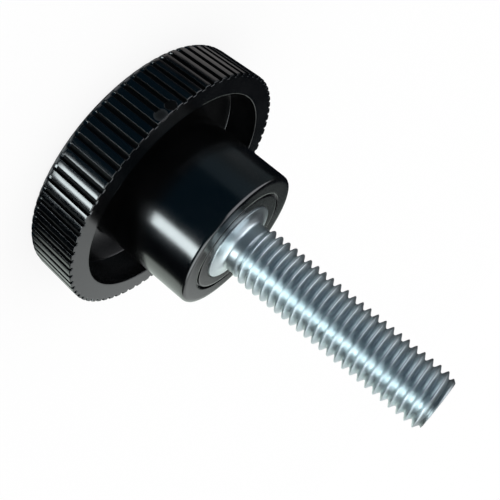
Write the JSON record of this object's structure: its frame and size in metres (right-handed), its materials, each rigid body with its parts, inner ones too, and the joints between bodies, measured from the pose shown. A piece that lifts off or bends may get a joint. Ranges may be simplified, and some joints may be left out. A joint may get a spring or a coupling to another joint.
{
  "type": "knurled knob",
  "caption": "Round ribbed hand knob with a recessed underside, a cylindrical hub and a threaded stud along its axis.",
  "frame": {"origin": "centre of the head's flat top face, which is the face the knob stands on", "axes": "+Z runs from the head's flat top through the hub and along the stud to its tip; X and Y are arbitrary, because the knob is round"},
  "size_m": [0.046, 0.046, 0.0626],
  "materials": {
    "black_plastic": "moulded, satin to semi-gloss",
    "zinc_plated_steel": "turned, bright zinc plated"
  },
  "bodies": {
    "root": {"knob_head": "black_plastic", "threaded_stud": "zinc_plated_steel"}
  },
  "joints": []
}
